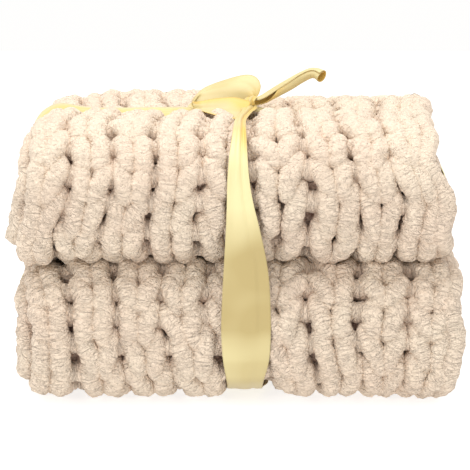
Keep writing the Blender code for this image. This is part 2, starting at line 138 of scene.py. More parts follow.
# And its creases: share of the radius, spacing, unevenness and sharpness
CREASES = [(0.080, 0.0062, 3.4, 3), (0.040, 0.0190, 3.0, 4)]
SEED = 11
YARN_LIGHT = (0.890, 0.742, 0.582, 1.0)
YARN_ROSE = (0.872, 0.700, 0.548, 1.0)
# painted shade: the yarn's darker, pinker colour deep in the hollows of the knit
YARN_RECESS_SHADE = (0.540, 0.365, 0.275, 1.0)
# painted shade: the colour of the small shadows in the yarn's creases and pits and between its
# tufts
YARN_CREASE_SHADE = (0.480, 0.360, 0.260, 1.0)
# painted shade: the dark browns of the inside of the knit, in shadow at the bottom of its holes
CORE_SHADE_DARK = (0.20, 0.12, 0.09, 1.0)
CORE_SHADE_LIGHT = (0.56, 0.39, 0.30, 1.0)

# The ribbon, tied round both ways: one loop and one free end
RIBBON_WIDTH = 0.049
RIBBON_THICK = 0.0005
RIBBON_CLEAR = 0.0009       # between the yarn and the ribbon that lies on it
RIBBON_STEP = 0.0045
BAND_CARRIED = 0.48         # the yarn this near its middle carries it, in widths
CROSS_CARRIED = 0.42
CROWN_TOP = KNIT_TOP - 0.035
PLEAT_LIFT = 0.0014         # on the front the band's right edge is pleated under by this
PLEAT_FROM = 0.20
PLEAT_HEIGHTS = ((0.060, 0.03), (0.165, 0.02))
NOTCH_Z = 2 * HALF + PITCH - 0.013
NOTCH_SAG = 0.017           # how far the ribbon falls in between the two bundles
NOTCH_REACH = 0.022
CORNER_SAG_Z = 0.244        # and how far in under the leaning corner at the right
CORNER_SAG = 0.0065
SHOULDER_X = -0.192         # where the ribbon turns down over the left end, tilted to the front
SHOULDER_TILT = 0.34
LEFT_TILT = 0.20            # left of the knot its front half lies lower between the stitches
BURIED_WIDTH = 0.012
BURIED_SINK = 0.0065        # and the soft yarn closes over it by this much
KNOT = (0.020, 0.030, 0.2848)
KNOT_WIDTH = 0.014
KNOT_SIZE = (0.0115, 0.0085, 0.0055)    # its width, half depth and half height
BURIED_SPAN = ((KNOT[0] + 0.010, 0.022), (0.200, 0.025))
TOP_TURN = 0.11             # over this reach the band swings to the knot
# Height, middle and width of the band where it goes over the front
BAND_SHAPE = [(0.0, 0.0136, 0.034), (0.028, 0.0138, 0.036), (0.045, 0.0150, 0.045),
              (0.078, 0.0146, 0.049), (0.122, 0.0149, 0.046), (0.145, 0.0144, 0.042),
              (0.160, 0.0132, 0.038), (0.188, 0.0108, 0.030), (0.204, 0.0086, 0.025),
              (0.227, 0.0068, 0.021), (0.250, 0.0072, 0.017), (0.276, 0.0090, 0.011)]
# Reach from the knot and width of the two ribbons where they lie on top
CROSS_SHAPE = [(0.0, 0.013), (0.030, 0.020), (0.060, 0.026), (0.180, 0.036), (0.260, 0.046)]
# The loop's two edges, from the knot along its near wall and back along its far one, as seen
# from the knot
LOOP_EDGES = [
    ((-0.0100, -0.0520, -0.0150), (0.0010, -0.0100, -0.0010)),
    ((-0.0220, -0.0490, -0.0135), (-0.0140, -0.0100, 0.0030)),
    ((-0.0364, -0.0430, -0.0112), (-0.0270, -0.0100, 0.0030)),
    ((-0.0500, -0.0350, -0.0080), (-0.0400, -0.0110, 0.0016)),
    ((-0.0590, -0.0250, -0.0060), (-0.0530, -0.0130, -0.0006)),
    ((-0.0650, -0.0120, -0.0060), (-0.0605, -0.0025, -0.0012)),
    ((-0.0610, 0.0040, -0.0055), (-0.0570, 0.0125, 0.0030)),
    ((-0.0480, 0.0070, -0.0030), (-0.0475, 0.0240, 0.0102)),
    ((-0.0300, 0.0050, -0.0020), (-0.0265, 0.0260, 0.0180)),
    ((-0.0140, 0.0040, -0.0020), (-0.0055, 0.0230, 0.0235)),
    ((-0.0060, 0.0040, -0.0020), (0.0060, 0.0180, 0.0215)),
    ((-0.0010, 0.0060, -0.0015), (0.0108, 0.0110, 0.0135)),
    ((0.0010, 0.0040, -0.0020), (0.0085, 0.0050, 0.0045)),
    ((0.0020, 0.0030, -0.0020), (0.0040, 0.0030, 0.0015)),
]
# The rolled free end: its middle as seen from the knot and its radius
TAIL_SHAPE = [(0.0040, 0.000, -0.0012, 0.0038), (0.0121, 0.000, -0.0002, 0.0050),
              (0.0256, 0.001, 0.0068, 0.0061), (0.0391, 0.001, 0.0145, 0.0067),
              (0.0516, 0.001, 0.0220, 0.0065), (0.0620, 0.000, 0.0268, 0.0063),
              (0.0685, -0.002, 0.0266, 0.0068), (0.0735, -0.006, 0.0240, 0.0080)]
TAIL_OPEN = 0.80            # how much of a full turn it is rolled at the knot
TAIL_ROLLED = 1.16          # and farther out
# painted light and shade: the satin where it catches the light, and where it is turned from it
SATIN_LIT = (0.800, 0.710, 0.380, 1.0)
SATIN_SHADE = (0.480, 0.370, 0.150, 1.0)
# painted reflection: the deeper gold where light reflects between the ribbon's folds and round the
# knot
SATIN_REFLECTED_GOLD = (0.740, 0.490, 0.100, 1.0)


class Shade:
    """A node socket that takes part in arithmetic."""

    def __init__(self, nodes, socket):
        self.nodes = nodes
        self.socket = socket

    def _maths(self, operation, *values, clamp=False):
        settings = {"operation": operation, "use_clamp": clamp}
        return self.nodes.make("ShaderNodeMath", settings, dict(enumerate(values)))

    def __add__(self, other):
        return self._maths("ADD", self, other)

    def __sub__(self, other):
        return self._maths("SUBTRACT", self, other)

    def __mul__(self, other):
        return self._maths("MULTIPLY", self, other)

    def __rsub__(self, other):
        return self._maths("SUBTRACT", other, self)

    def __pow__(self, other):
        return self._maths("POWER", self, other)

    __radd__ = __add__
    __rmul__ = __mul__

    def __abs__(self):
        return self._maths("ABSOLUTE", self)

    def clamped(self):
        return self._maths("MULTIPLY", self, 1.0, clamp=True)


class Nodes:
    """The nodes of one material."""

    def __init__(self, name, **constants):
        self.material = bpy.data.materials.new(name)
        self.material.use_nodes = True
        self.tree = self.material.node_tree
        self.shader = self.tree.nodes["Principled BSDF"]
        for socket, value in constants.items():
            self.shader.inputs[socket.replace("_", " ")].default_value = value

    def make(self, kind, settings=None, inputs=None, output=0):
        """Add a node: its settings come first, then the values or links of its sockets."""
        node = self.tree.nodes.new(kind)
        for name, value in (settings or {}).items():
            if name == "stops":
                for stop, (place, colour) in zip(node.color_ramp.elements, value):
                    stop.position = place
                    stop.color = colour
            else:
                setattr(node, name, value)
        for name, value in (inputs or {}).items():
            if isinstance(value, Shade):
                self.tree.links.new(value.socket, node.inputs[name])
            else:
                node.inputs[name].default_value = value
        return Shade(self, node.outputs[output])

    def mix(self, share, low, high):
        """From one colour to another; a Mix node's colour sockets go by number."""
        return self.make("ShaderNodeMix", {"data_type": "RGBA"}, {0: share, 6: low, 7: high},
                         output=2)

    def noise(self, where, scale, detail=3.0, rough=0.55):
        return self.make("ShaderNodeTexNoise", None,
                         {"Vector": where, "Scale": scale, "Detail": detail, "Roughness": rough})

    def creased(self, where, across, along):
        """Noise in the yarn's own map, drawn out across it."""
        scaled = self.make("ShaderNodeMapping", None,
                           {"Vector": where, "Scale": (across, along, 1.0)})
        return self.make("ShaderNodeTexNoise", None,
                         {"Vector": scaled, "Scale": 1.0, "Detail": 2.0, "Roughness": 0.5})

    def parting(self, value, width):
        """1 along the lines where a noise passes its middle, 0 away from them."""
        return self.stretch(abs(value - 0.5), width, 0.0)

    def stretch(self, value, low, high):
        """Spread the values between low and high over 0 to 1."""
        return self.make("ShaderNodeMapRange", {"clamp": True},
                         {"Value": value, "From Min": low, "From Max": high})

    def feed(self, socket, value):
        self.tree.links.new(value.socket, self.shader.inputs[socket])

    def bump(self, height, distance, strength=1.0):
        node = self.make("ShaderNodeBump", None,
                         {"Height": height, "Distance": distance, "Strength": strength})
        self.feed("Normal", node)


def smooth(part):
    """From 0 to 1 as the part does, without a corner at either end."""
    part = np.clip(part, 0.0, 1.0)
    return part * part * (3 - 2 * part)


def within(value, span):
    """1 inside a span, fading to 0 at its two ends."""
    (begin, rise), (end, fall) = span
    return smooth((value - begin) / rise) * smooth((end - value) / fall)


def fold_line():
    """The middle of the doubled cloth, seen from its end: one piece for each row of FOLDS."""
    turns = [UNDER_EDGE_Y, FRONT_BEND_Y, BACK_BEND_Y, FRONT_BEND_Y, TOP_EDGE_Y]
    pieces = []
    begin = 0.0
    for run in range(4):
        height = HALF + PITCH * run
        length = abs(turns[run + 1] - turns[run])
        pieces.append({"kind": "run", "start": turns[run], "end": turns[run + 1], "z": height,
                       "length": length, "begin": begin})
        begin += length
        if run < 3:
            pieces.append({"kind": "bend", "y": turns[run + 1], "z": height + BEND,
                           "side": 1 if run == 1 else -1, "length": math.pi * BEND, "begin": begin})
            begin += math.pi * BEND
    return pieces, begin


PIECES, CLOTH_LENGTH = fold_line()


def along_fold(distance):
    """For distances along the cloth: y, z, the way to its outer face, and its two ends."""
    y, z, out_y, out_z, left, right = np.zeros((6, len(distance)))
    for number, piece in enumerate(PIECES):
        begin, length = piece["begin"], piece["length"]
        here = distance >= begin - 1e-9 if number else np.full(len(distance), True)
        part = (distance[here] - begin) / length
        if piece["kind"] == "run":
            way = 1.0 if piece["end"] > piece["start"] else -1.0
            y[here] = piece["start"] + (piece["end"] - piece["start"]) * part
            z[here] = piece["z"]
            out_y[here] = 0.0
            out_z[here] = way
        else:
            side = piece["side"]
            turn = math.pi * np.clip(part, 0.0, 1.0) - math.pi / 2
            below, above = FRONT_SQUARE if side < 0 else BACK_SQUARE
            square = np.where(turn > 0, above, below)
            cosine, sine = np.abs(np.cos(turn)), np.abs(np.sin(turn))
            swell = (cosine ** square + sine ** square) ** (-1 / square)
            reach, up = swell * np.cos(turn) * side, swell * np.sin(turn)
            y[here] = piece["y"] + BEND * reach
            z[here] = piece["z"] + BEND * up
            out_y[here] = -side * reach
            out_z[here] = -side * up
        part = np.clip(part, 0.0, 1.0)
        before, after = FOLDS[max(number - 1, 0)], FOLDS[min(number + 1, len(FOLDS) - 1)]
        share = smooth(np.abs(part - 0.5) * 2) / 2
        for ends, key in ((left, "left"), (right, "right")):
            own = FOLDS[number][key]
            other = np.where(part < 0.5, before[key], after[key])
            ends[here] = own + (other - own) * share
    return y, z, out_y, out_z, left, right


def hollow(distance):
    """How much of the ribbon's pull reaches a point this far from the ribbon's middle."""
    near = np.abs(distance) < PINCH_HALF_WIDTH
    return np.where(near, np.cos(math.pi / 2 * distance / PINCH_HALF_WIDTH) ** 2, 0.0)


def draw_in(x, y, z):
    """Move points of the cloth to where the tied ribbon pulls them, and they lean or hang."""
    by_right = smooth((x - BAND_X) / BURIED_REACH)
    narrow = CROSS_NARROW + (BURIED_NARROW - CROSS_NARROW) * by_right
    top_part = smooth((z - KNIT_TOP + PITCH) / PITCH)
    band = hollow((x - BAND_X) * (1 + (TOP_NARROW - 1) * top_part))
    cross = hollow((y - CROSS_Y) * narrow)
    both = np.minimum(1.0, band + cross)
    on_top = np.maximum(band, cross)
    front_part = smooth((np.abs(y) + FRONT_BEND_Y) / (HALF + BEND))
    end_part = smooth((np.abs(x) - PINCH_END_FROM) / (PINCH_END_FULL - PINCH_END_FROM))
    under_part = smooth(1 - z / PITCH)
    to_left, to_right = smooth(-x / LEAN_REACH), smooth(x / LEAN_REACH)
    corner = smooth((CORNER_BACK - y) / CORNER_DEPTH) * smooth((z - CORNER_FROM) / CORNER_REACH)
    lean = 1 - CROWN_LEAN * smooth((z - CROWN_FROM) / CROWN_REACH) * to_left
    lean -= (CORNER_LEAN * corner + HEEL_LEAN * smooth(1 - z / HEEL_FROM)) * to_right
    slant = FOOT_SLANT * smooth(1 - z / FOOT_FROM) * within(x, FOOT_SPAN)
    slant += UPPER_SLANT * within(z, UPPER_HEIGHTS) * within(x, UPPER_SPAN)
    forward = smooth(-y / FRONT_REACH)
    moved_x = x * lean + slant * forward - np.sign(x) * PINCH_END * cross * end_part
    moved_y = y - np.sign(y) * PINCH_FRONT * band * front_part
    buried = 1 + BURIED_DEEP * cross * by_right
    moved_z = z - PINCH_TOP * buried * on_top * top_part + PINCH_UNDER * both * under_part
    moved_z -= DROOP * within(z, DROOP_HEIGHTS) * smooth((-x - DROOP_FROM) / DROOP_REACH)
    rising = within(x, RISE_SPAN) * smooth((y - RISE_FROM_Y) / RISE_REACH)
    moved_z += RISE * rising * top_part
    return np.stack([moved_x, moved_y, moved_z], axis=1)


def swell(column, distance):
    """The face is puffed up where one bundle rests on the other."""
    upper_notch, lower_notch = PIECES[5]["begin"], PIECES[2]["begin"]
    nearest = np.minimum(np.abs(distance - upper_notch), np.abs(distance - lower_notch))
    share = np.clip(1 - nearest / SQUEEZE_REACH, 0.0, 1.0)
    return SQUEEZE * smooth(share) * smooth((COLUMNS / 2 - column) / 2)


def on_cloth(column, distance, depth):
    """Points of the doubled cloth by column, distance along it and depth under its crests."""
    y, z, out_y, out_z, left, right = along_fold(distance)
    radius = HALF - depth + swell(column, distance)
    arc_start = left + HALF
    side_start = right - SIDE_INSET
    from_edge = np.minimum(column, COLUMNS - column)
    flat_x = side_start + (arc_start - side_start) * from_edge / FLAT_COLUMNS
    angle = math.pi * (column - FLAT_COLUMNS) / ARC_COLUMNS
    in_arc = (column > FLAT_COLUMNS) & (column < COLUMNS - FLAT_COLUMNS)
    x = np.where(in_arc, arc_start - radius * np.sin(angle), flat_x)
    on_face = np.where(column < COLUMNS / 2, radius, -radius)
    out = np.where(in_arc, radius * np.cos(angle), on_face)
    return draw_in(x, y + out_y * out, z + out_z * out)


def row_places(side):
    """The distances along the cloth at which each fold's rows begin, for one side of it."""
    rows = np.cumsum([0] + [fold[side] for fold in FOLDS])
    places = [piece["begin"] for piece in PIECES] + [CLOTH_LENGTH]
    places[0] += EDGE_INSET
    places[-1] -= EDGE_INSET
    return rows, np.array(places)


def distance_of(side, row):
    """Where a place in rows lies along the cloth, also a little past its two edges."""
    rows, places = row_places(side)
    distance = np.interp(row, rows, places)
    first = (places[1] - places[0]) / (rows[1] - rows[0])
    last = (places[-1] - places[-2]) / (rows[-1] - rows[-2])
    distance += np.minimum(row, 0.0) * first + np.maximum(row - rows[-1], 0.0) * last
    return distance


def lumps(points, length, seed):
    """A soft uneven field from -1 to 1, with lumps of about this length."""
    dice = np.random.default_rng(seed)
    ways = dice.normal(size=(14, 3))
    ways *= (2 * math.pi / length) / np.linalg.norm(ways, axis=1)[:, None]
    ways *= dice.uniform(0.7, 1.5, 14)[:, None]
    phases = dice.uniform(0, 2 * math.pi, 14)
    return np.sin(points @ ways.T + phases).sum(axis=1) / 4.5


class Yarn:
    """Lengths of yarn gathered into one piece."""

    def __init__(self, sides):
        self.sides = sides
        self.points, self.faces, self.maps, self.shade_depths = [], [], [], []
        self.count = 0

    def lay(self, middle, outward, radius, depth):
        """Lay one length of yarn along its middle line, round and closed at both ends."""
        sides, rings = self.sides, len(middle)
        tangent = np.gradient(middle, axis=0)
        tangent /= np.linalg.norm(tangent, axis=1)[:, None]
        across = np.cross(tangent, outward)
        across /= np.linalg.norm(across, axis=1)[:, None]
        up = np.cross(across, tangent)
        steps = np.linalg.norm(np.diff(middle, axis=0), axis=1)
        length = np.concatenate([[0.0], np.cumsum(steps)])
        angles = 2 * math.pi * np.arange(sides) / sides
        ring = (across[:, None] * np.cos(angles)[None, :, None]
                + up[:, None] * np.sin(angles)[None, :, None])
        place = middle[:, None] + ring * radius[:, None, None]
        crease = self.creases(length, middle)
        flat = place.reshape(-1, 3)
        puff = 1 + sum(share * lumps(flat, size, seed) for share, size, seed in PUFFS)
        puff = puff.reshape(rings, sides) * (1 - crease[:, None])
        place = middle[:, None] + ring * (radius[:, None] * puff)[:, :, None]
        # each point's depth under the crests of the knit, which sets the painted shade in its
        # hollows
        shade_depth = depth[:, None] - np.sin(angles)[None, :] * radius[:, None]
        self.add_grid(place, shade_depth, length)

    def creases(self, length, middle):
        """The yarn's pile parts at uneven places along it."""
        jitter = 1.1 * lumps(middle, 0.030, 5)
        total = np.zeros(len(length))
        for share, spacing, uneven, sharp in CREASES:
            wave = 0.5 + 0.5 * np.cos(2 * math.pi * length / spacing + uneven * jitter)
            total += share * wave ** sharp
        return total

    def add_grid(self, place, shade_depth, length):
        rings, sides = place.shape[:2]
        start = self.count
        ends = place[[0, -1]].mean(axis=1)
        self.points.append(np.concatenate([place.reshape(-1, 3), ends]))
        self.shade_depths.append(np.concatenate([shade_depth.reshape(-1), shade_depth[[0, -1]].mean(axis=1)]))
        self.count += rings * sides + 2
        ring, side = np.meshgrid(np.arange(rings - 1), np.arange(sides), indexing="ij")
        after = (side + 1) % sides
        quads = np.stack([ring * sides + side, ring * sides + after,
                          (ring + 1) * sides + after, (ring + 1) * sides + side], axis=-1)
        self.faces.append(start + quads.reshape(-1, 4))
        around = np.stack([side, side + 1, side + 1, side], axis=-1) / sides
        along = np.stack([length[ring], length[ring], length[ring + 1], length[ring + 1]], axis=-1)
        self.maps.append(np.stack([around * 2 * math.pi * YARN_RADIUS, along], axis=-1)
                         .reshape(-1, 4, 2))
        order = np.arange(sides)
        following = (order + 1) % sides
        pole = rings * sides
        low = np.stack([np.full(sides, pole), following, order, order], axis=-1)
        top = (rings - 1) * sides
        high = np.stack([np.full(sides, pole + 1), top + order, top + following,
                         top + following], axis=-1)
        self.faces.append(start + np.concatenate([low, high]))
        self.maps.append(np.zeros((2 * sides, 4, 2)))

    def finish(self, name, material):
        """Make the piece. Yarn that would reach below the surface it lies on is pressed flat."""
        points = np.concatenate(self.points)
        points[:, 2] = np.maximum(points[:, 2], 0.0)
        faces = np.concatenate(self.faces)
        maps = np.concatenate(self.maps)
        three = faces[:, 2] == faces[:, 3]
        sizes = np.where(three, 3, 4)
        keep = np.ones_like(faces, bool)
        keep[three, 3] = False
        mesh = bpy.data.meshes.new(name)
        mesh.vertices.add(len(points))
        mesh.vertices.foreach_set("co", points.astype(np.float32).ravel())
        mesh.loops.add(int(sizes.sum()))
        mesh.loops.foreach_set("vertex_index", faces[keep].astype(np.int32))
        mesh.polygons.add(len(faces))
        starts = np.concatenate([[0], np.cumsum(sizes)[:-1]])
        mesh.polygons.foreach_set("loop_start", starts.astype(np.int32))
        mesh.update(calc_edges=True)
        layer = mesh.uv_layers.new(name="yarn")
        layer.data.foreach_set("uv", maps[keep].astype(np.float32).ravel())
        # the depth under the crests, kept for the painted shade in the hollows
        shade_depth = mesh.attributes.new("shade_depth", "FLOAT", "POINT")
        shade_depth.data.foreach_set("value", np.concatenate(self.shade_depths).astype(np.float32))
        mesh.validate()
        mesh.shade_smooth()
        mesh.materials.append(material)
        piece = bpy.data.objects.new(name, mesh)
        bpy.context.scene.collection.objects.link(piece)
        return piece


class Stitch:
    """How one stitch differs from the next."""

    def __init__(self, dice):
        self.aside = dice.uniform(-0.060, 0.060)
        self.up = dice.uniform(-0.13, 0.13)
        self.spread = [LOOP_SPREAD * dice.uniform(0.45, 1.40) for _ in range(2)]
        self.lean = dice.uniform(-0.11, 0.11)
        self.deep = dice.uniform(-0.0015, 0.0030)
        self.fat = dice.uniform(0.92, 1.08)


def stitch_path(first, count, dice, steps):
    """A course of stitches: columns, rows from its middle, depths and thickness of its yarn."""
    turn = np.linspace(-math.pi, math.pi, steps, endpoint=False)
    column, row, depth, fat = [], [], [], []
    for number in range(count):
        own = Stitch(dice)
        spread = np.where(turn < 0, own.spread[0], own.spread[1])
        held = np.cos(turn / 2) ** 2
        height = LOOP_HEIGHT * np.cos(turn)
        across = turn / (2 * math.pi) - LEG_DRAW * np.sin(turn) + spread * np.sin(2 * turn)
        across += held * (own.aside + own.lean * height)
        column.append(first + number + 0.5 + across)
        row.append(height + own.up * held)
        legs = LOOP_DEPTH * (1 + np.cos(2 * turn)) + LOOP_TILT * np.cos(turn)
        depth.append(legs + own.deep * held)
        fat.append(1 + (own.fat - 1) * held)
    return [np.concatenate(part) for part in (column, row, depth, fat)]


def knit_course(yarn, side, row, first, count, dice, steps):
    """One row of stitches over some columns of one side of the cloth."""
    column, rise, depth, fat = stitch_path(first, count, dice, steps)
    height = row + 0.5 + rise
    place = np.stack([0.7 * column, height, np.zeros(len(column))], axis=1)
    distance = distance_of(side, height + 0.24 * lumps(place, 4.5, 7))
    column = column + 0.130 * lumps(place, 4.0, 8)
    depth = depth + YARN_RADIUS
    middle = on_cloth(column, distance, depth)
    above = on_cloth(column, distance, depth - 0.004)
    outward = above - middle
    outward /= np.linalg.norm(outward, axis=1)[:, None]
    radius = YARN_RADIUS * fat
    taper = np.ones(len(radius))
    taper[[0, -1]] = 0.45
    taper[[1, -2]] = 0.85
    yarn.lay(middle, outward, radius * taper, depth)


def knit(name, side, rows, first, count, material, steps=60, sides=14):
    dice = random.Random(f"{SEED} {name}")
    yarn = Yarn(sides)
    for row in rows:
        knit_course(yarn, side, row, first, count, dice, steps)
    return yarn.finish(name, material)


def fold_ends(name, columns, material):
    """The rows that lie inside the folds, knitted only where their ends show."""
    dice = random.Random(f"{SEED} {name}")
    yarn = Yarn(12)
    for side, column in columns:
        for row in INNER_ROWS[side]:
            knit_course(yarn, side, row, column, 1, dice, 40)
    return yarn.finish(name, material)


def side_edges(material):
    """The side edges of both plies: the yarn turns there from one row to the next."""
    yarn = Yarn(12)
    rows = sum(fold["end"] for fold in FOLDS)
    row = np.arange(0.0, rows + 0.001, 1 / 12)
    distance = distance_of("end", row)
    y, z, out_y, out_z, left, right = along_fold(distance)
    for number, (out, phase, girth) in enumerate(SIDE_YARNS):
        wave = 2 * math.pi * row + phase
        place = np.stack([row, np.full(len(row), float(number)), np.zeros(len(row))], axis=1)
        inset = YARN_RADIUS + 0.0030 + 0.0034 * np.cos(wave) + 0.0020 * lumps(place, 3.0, 9)
        out = out + 0.0016 * np.sin(wave)
        middle = draw_in(right - inset, y + out_y * out, z + out_z * out)
        outward = np.tile((1.0, 0.0, 0.0), (len(row), 1))
        depth = np.full(len(row), EDGE_SHADE_DEPTH)
        radius = YARN_RADIUS * (girth + 0.09 * np.cos(wave + 0.6))
        yarn.lay(middle, outward, radius, depth)
    return yarn.finish("side_edges", material)


def short_edges(material):
    """The first and the last row of the cloth, at the back: a chain along the edge."""
    yarn = Yarn(12)
    column = np.arange(0.1, COLUMNS - 0.1, 1 / 16)
    wave = 2 * math.pi * column
    for end in (EDGE_INSET + 0.002, CLOTH_LENGTH - EDGE_INSET - 0.002):
        into = 1.0 if end < CLOTH_LENGTH / 2 else -1.0
        distance = end + into * 0.0025 * np.cos(wave)
        depth = 0.0150 + 0.0022 * np.sin(wave)
        middle = on_cloth(column, distance, depth)
        outward = on_cloth(column, distance, depth - 0.004) - middle
        outward /= np.linalg.norm(outward, axis=1)[:, None]
        radius = YARN_RADIUS * (1.06 + 0.05 * np.cos(2 * wave))
        yarn.lay(middle, outward, radius, np.full(len(column), EDGE_SHADE_DEPTH))
    return yarn.finish("short_edges", material)


def knit_core(material):
    """The inside of the knit, which shows at the bottom of its holes; its dark brown colour is
    painted shade.
    """
    half, inset = 0.0125, 0.030
    row = np.arange(0.0, sum(fold["end"] for fold in FOLDS) + 0.001, 0.25)
    distance = distance_of("end", row)
    y, z, out_y, out_z, left, right = along_fold(distance)
    bm = bmesh.new()
    lines = []
    stops = np.linspace(0.0, 1.0, 19)
    flat = [(stop, half, 0.0) for stop in stops]
    cap = [(1.0, half * math.cos(turn), half * math.sin(turn))
           for turn in np.linspace(0, math.pi, 7)[1:-1]]
    around = flat + cap + [(stop, -half, 0.0) for stop in stops[::-1]]
    for stop, out, bulge in around:
        start, end = right - inset, left + 0.026
        x = start + (end - start) * stop - bulge
        place = draw_in(x, y + out_y * out, z + out_z * out)
        lines.append([bm.verts.new(point) for point in place])
    for first, second in zip(lines, lines[1:] + lines[:1]):
        for step in range(len(first) - 1):
            bm.faces.new((first[step], first[step + 1], second[step + 1], second[step]))
    bm.faces.new([line[0] for line in reversed(lines)])
    bm.faces.new([line[-1] for line in lines])
    bmesh.ops.recalc_face_normals(bm, faces=bm.faces)
    if bm.calc_volume(signed=True) < 0:
        bmesh.ops.reverse_faces(bm, faces=bm.faces)
    mesh = bpy.data.meshes.new("knit_core")
    bm.to_mesh(mesh)
    bm.free()
    mesh.shade_smooth()
    mesh.materials.append(material)
    core = bpy.data.objects.new("knit_core", mesh)
    bpy.context.scene.collection.objects.link(core)
    return core


def spline(points, count):
    """A smooth line through the points, in this many even steps."""
    points = np.asarray(points, float)
    ends = np.vstack([2 * points[0] - points[1], points, 2 * points[-1] - points[-2]])
    steps = np.linalg.norm(np.diff(points[:, :3], axis=0), axis=1)
    reach = np.concatenate([[0.0], np.cumsum(steps)])
    where = np.interp(np.linspace(0, reach[-1], count), reach, np.arange(len(points)))
    piece = np.minimum(where.astype(int), len(points) - 2)
    part = (where - piece)[:, None]
    a, b, c, d = (ends[piece + shift] for shift in range(4))
    return 0.5 * (2 * b + (c - a) * part + (2 * a - 5 * b + 4 * c - d) * part ** 2
                  + (3 * b - a - 3 * c + d) * part ** 3)


def hull(points):
    """The convex outline of flat points, anticlockwise."""
    order = sorted(set(map(tuple, np.round(points, 6))))
    sides = []
    for run in (order, order[::-1]):
        side = []
        for point in run:
            while len(side) > 1 and turn_of(side[-2], side[-1], point) <= 0:
                side.pop()
            side.append(point)
        sides += side[:-1]
    return np.array(sides)


def turn_of(a, b, c):
    return (b[0] - a[0]) * (c[1] - a[1]) - (b[1] - a[1]) * (c[0] - a[0])


def taut_line(points, clearance, spacing):
    """A line drawn tight round flat points, even steps, rounded, this far off them."""
    corners = hull(points)
    closed = np.vstack([corners, corners[:1]])
    reach = np.concatenate([[0.0], np.cumsum(np.linalg.norm(np.diff(closed, axis=0), axis=1))])
    count = int(reach[-1] / spacing)
    where = np.linspace(0, reach[-1], count, endpoint=False)
    line = np.stack([np.interp(where, reach, closed[:, axis]) for axis in (0, 1)], axis=1)
    for _ in range(3):
        line = (np.roll(line, 1, 0) + 2 * line + np.roll(line, -1, 0)) / 4
    ahead = np.roll(line, -1, 0) - np.roll(line, 1, 0)
    outward = np.stack([ahead[:, 1], -ahead[:, 0]], axis=1)
    outward /= np.linalg.norm(outward, axis=1)[:, None]
    return line + outward * clearance, outward


def yarn_near(pieces, keep):
    """The points of the yarn that pass a test."""
    found = []
    for piece in pieces:
        points = np.empty(len(piece.data.vertices) * 3, np.float32)
        piece.data.vertices.foreach_get("co", points)
        points = points.reshape(-1, 3)
        found.append(points[keep(points)])
    return np.concatenate(found)


def strip(name, grid, reflected_gold, material, closed=False):
    """A thin sheet over a grid of points: rows along the ribbon, columns across it."""
    ahead = np.roll(grid, -1, 0) - np.roll(grid, 1, 0)
    if not closed:
        ahead[[0, -1]] = grid[[1, -1]] - grid[[0, -2]]
    aside = np.gradient(grid, axis=1)
    normal = np.cross(ahead, aside)
    normal /= np.maximum(np.linalg.norm(normal, axis=2), 1e-12)[:, :, None]
    layers = np.stack([grid + normal * RIBBON_THICK / 2, grid - normal * RIBBON_THICK / 2])
    rows, columns = grid.shape[:2]
    bm = bmesh.new()
    # each point's share of the painted gold reflection, on each face of the sheet
    shade = bm.verts.layers.float.new("reflected_gold")
    verts = [[[bm.verts.new(point) for point in line] for line in layer] for layer in layers]
    for side in range(2):
        for line, values in zip(verts[side], reflected_gold[side]):
            for vert, value in zip(line, values):
                vert[shade] = value
    last = rows if closed else rows - 1
    for row in range(last):
        after = (row + 1) % rows
        for column in range(columns - 1):
            corners = ((row, column), (row, column + 1), (after, column + 1), (after, column))
            for layer in verts:
                bm.faces.new([layer[at][across] for at, across in corners])
        for column in (0, columns - 1):
            bm.faces.new((verts[0][row][column], verts[0][after][column],
                          verts[1][after][column], verts[1][row][column]))
    if not closed:
        for row in (0, rows - 1):
            for column in range(columns - 1):
                bm.faces.new((verts[0][row][column], verts[0][row][column + 1],
                              verts[1][row][column + 1], verts[1][row][column]))
    bmesh.ops.recalc_face_normals(bm, faces=bm.faces)
    if bm.calc_volume(signed=True) < 0:
        bmesh.ops.reverse_faces(bm, faces=bm.faces)
    mesh = bpy.data.meshes.new(name)
    bm.to_mesh(mesh)
    bm.free()
    mesh.shade_smooth()
    mesh.materials.append(material)
    piece = bpy.data.objects.new(name, mesh)
    bpy.context.scene.collection.objects.link(piece)
    return piece


def gathers(across, width, seed):
    """How far a gathered ribbon's folds stand up: none where it is full width."""
    gather = np.clip(1 - width / RIBBON_WIDTH, 0.0, 1.0)[:, None]
    along = np.arange(len(width))[:, None]
    valley = 0.20 + 0.05 * np.sin(seed + along * 0.05)
    second = -0.24 + 0.06 * np.sin(2 * seed + along * 0.037)
    fold = np.exp(-((across - valley) / 0.075) ** 2)
    fold = fold + 0.5 * np.exp(-((across - second) / 0.10) ** 2)
    return gather * (0.0030 * np.cos(math.pi * across) - 0.0030 * fold)


def band_middle(y, z):
    """The band's middle and width at a point of its round."""
    heights, middles, widths = np.array(BAND_SHAPE).T
    middle = np.interp(z, heights, middles)
    width = np.interp(z, heights, widths)
    on_top = z > KNIT_TOP - PITCH
    swing = np.where(on_top, smooth(1 - np.abs(y - KNOT[1]) / TOP_TURN), 0.0)
    reach, spread = np.array(CROSS_SHAPE).T
    behind = y > 0
    under = (z < 0.02) & (y > -0.08)
    width = np.where(behind | under, RIBBON_WIDTH, width)
    on_crown = z > CROWN_TOP
    width = np.where(on_crown, np.minimum(width, np.interp(np.abs(y - KNOT[1]), reach, spread)),
                     width)
    middle = np.where(behind & (z < KNIT_TOP - PITCH), BAND_X, middle)
    return middle + (KNOT[0] - middle) * swing, width


def ease(values, times):
    """Even out values that follow each other round a ring."""
    for _ in range(times):
        values = (np.roll(values, 1) + 2 * values + np.roll(values, -1)) / 4
    return values


